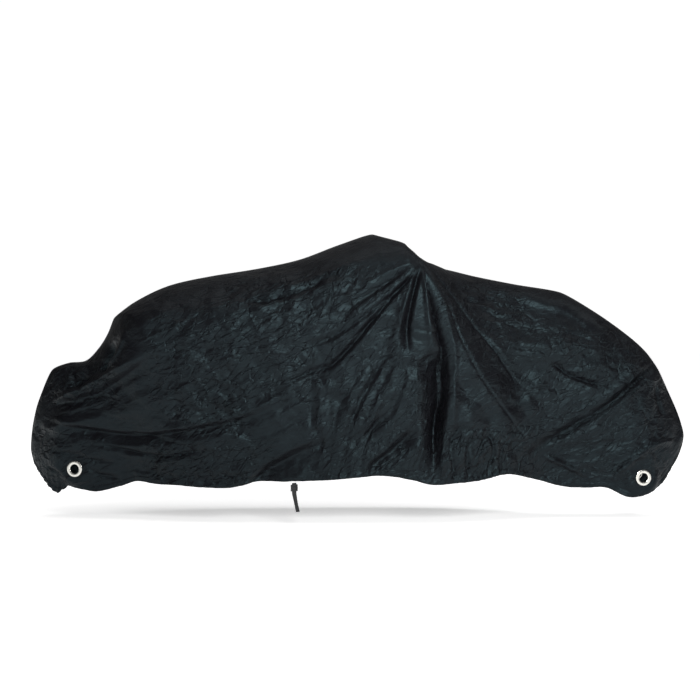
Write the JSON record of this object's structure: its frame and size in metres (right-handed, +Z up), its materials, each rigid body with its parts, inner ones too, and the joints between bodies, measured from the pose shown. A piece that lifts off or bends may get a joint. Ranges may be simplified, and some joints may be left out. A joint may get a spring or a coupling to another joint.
{
  "type": "bicycle cover",
  "caption": "Fitted waterproof cover draped over a long cargo bicycle, with an elastic hem, eyelets for a lock cable and a belly strap.",
  "frame": {"origin": "under the peak of the cloth on the centre plane, where the handlebar of the bicycle carries it", "axes": "+X towards the rear wheel end, +Y away from the near side, +Z up"},
  "size_m": [2.6435, 0.745, 1.089],
  "materials": {
    "cloth": "plain-woven black nylon with a satin waterproof coating, creased from its packing",
    "ring": "nickel-plated pressed brass",
    "webbing": "black woven polypropylene webbing",
    "buckle": "moulded black acetal"
  },
  "bodies": {
    "root": {"panel_near": "cloth", "panel_far": "cloth", "patch_front_near": "cloth", "patch_front_far": "cloth", "patch_rear_near": "cloth", "patch_rear_far": "cloth", "ring_front_near": "ring", "ring_front_far": "ring", "ring_rear_near": "ring", "ring_rear_far": "ring", "belly_strap": "webbing", "strap_buckle": "buckle"}
  },
  "joints": []
}
